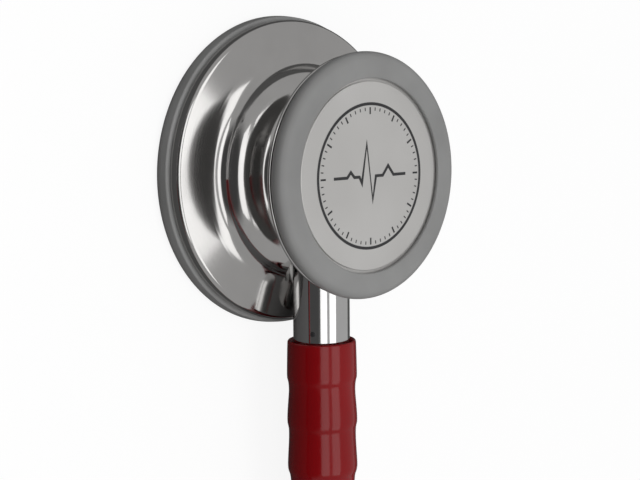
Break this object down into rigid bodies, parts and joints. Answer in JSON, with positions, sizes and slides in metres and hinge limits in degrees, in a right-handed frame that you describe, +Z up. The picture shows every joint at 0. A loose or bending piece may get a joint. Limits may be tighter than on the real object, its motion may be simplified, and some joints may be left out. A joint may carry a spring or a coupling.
{
  "type": "stethoscope",
  "caption": "Acoustic stethoscope with a dual-head diaphragm chestpiece that turns on its stem, a flexible hose, a Y fork and a sprung binaural headset.",
  "frame": {"origin": "centre of the large diaphragm's face, in the plane of the table that the stethoscope lies on", "axes": "+Z up, along the chestpiece's axis from the large head to the small head; +X along the stem, from the chestpiece towards the hose; the headset lies on the -Y side and points to -X"},
  "size_m": [0.3318, 0.2029, 0.0206],
  "materials": {
    "brushed_steel": "circular brushed on the heads' faces, polished at the waist",
    "polished_steel": "polished",
    "grey_elastomer": "satin moulded",
    "silver_resin": "satin, with a fine printed ring",
    "clear_web": "satin",
    "black_rubber": "matte",
    "red_vinyl": "satin, soft sheen",
    "black_plastic": "satin",
    "soft_silicone": "matte, soft"
  },
  "bodies": {
    "stem_and_hose": {"stem": "polished_steel", "o_ring_rear": "black_rubber", "o_ring_front": "black_rubber", "hose_grip": "red_vinyl", "hose": "red_vinyl", "hose_fork": "red_vinyl", "leaf_spring": "polished_steel", "elbow_left": "red_vinyl", "elbow_right": "red_vinyl"},
    "head": {"chestpiece_body": "brushed_steel", "small_rim": "grey_elastomer", "large_rim": "grey_elastomer", "small_surround": "clear_web", "large_surround": "clear_web", "stem_collar": "polished_steel", "detent_ball": "polished_steel", "detent_spring": "polished_steel", "detent_screw": "polished_steel"},
    "small_disc": {"small_diaphragm": "silver_resin"},
    "large_disc": {"large_diaphragm": "silver_resin"},
    "arm_left": {"arm_tube_left": "red_vinyl", "ear_tube_left": "polished_steel", "ferrule_left": "polished_steel"},
    "arm_right": {"arm_tube_right": "red_vinyl", "ear_tube_right": "polished_steel", "ferrule_right": "polished_steel"},
    "tip_left": {"eartip_core_left": "black_plastic", "eartip_left": "soft_silicone"},
    "tip_right": {"eartip_core_right": "black_plastic", "eartip_right": "soft_silicone"}
  },
  "joints": [
    {"name": "head_swivel", "type": "hinge", "parent": "stem_and_hose", "child": "head", "pos_m": [0, 0, 0.0096], "axis": [1, 0, 0], "continuous": true},
    {"name": "small_diaphragm_press", "type": "slide", "parent": "head", "child": "small_disc", "axis": [0, 0, -1], "range_m": [0, 0.0004], "stiffness_N_per_m": 5000, "deforming": ["small_surround"]},
    {"name": "large_diaphragm_press", "type": "slide", "parent": "head", "child": "large_disc", "axis": [0, 0, 1], "range_m": [0, 0.0004], "stiffness_N_per_m": 5000, "deforming": ["large_surround"]},
    {"name": "left_arm_spread", "type": "hinge", "parent": "stem_and_hose", "child": "arm_left", "pos_m": [0.084, -0.1094, 0.00465], "axis": [0, 0, -1], "range_deg": [-4, 24], "stiffness_Nm_per_rad": 2.5, "deforming": ["elbow_left"]},
    {"name": "right_arm_spread", "type": "hinge", "parent": "stem_and_hose", "child": "arm_right", "pos_m": [0.084, -0.1346, 0.00465], "axis": [0, 0, 1], "range_deg": [-4, 24], "stiffness_Nm_per_rad": 2.5, "deforming": ["elbow_right"]},
    {"name": "left_eartip_pull", "type": "slide", "parent": "arm_left", "child": "tip_left", "axis": [-0.3858, -0.9002, 0.2021], "range_m": [0, 0.009]},
    {"name": "right_eartip_pull", "type": "slide", "parent": "arm_right", "child": "tip_right", "axis": [-0.3858, 0.9002, 0.2021], "range_m": [0, 0.009]}
  ]
}
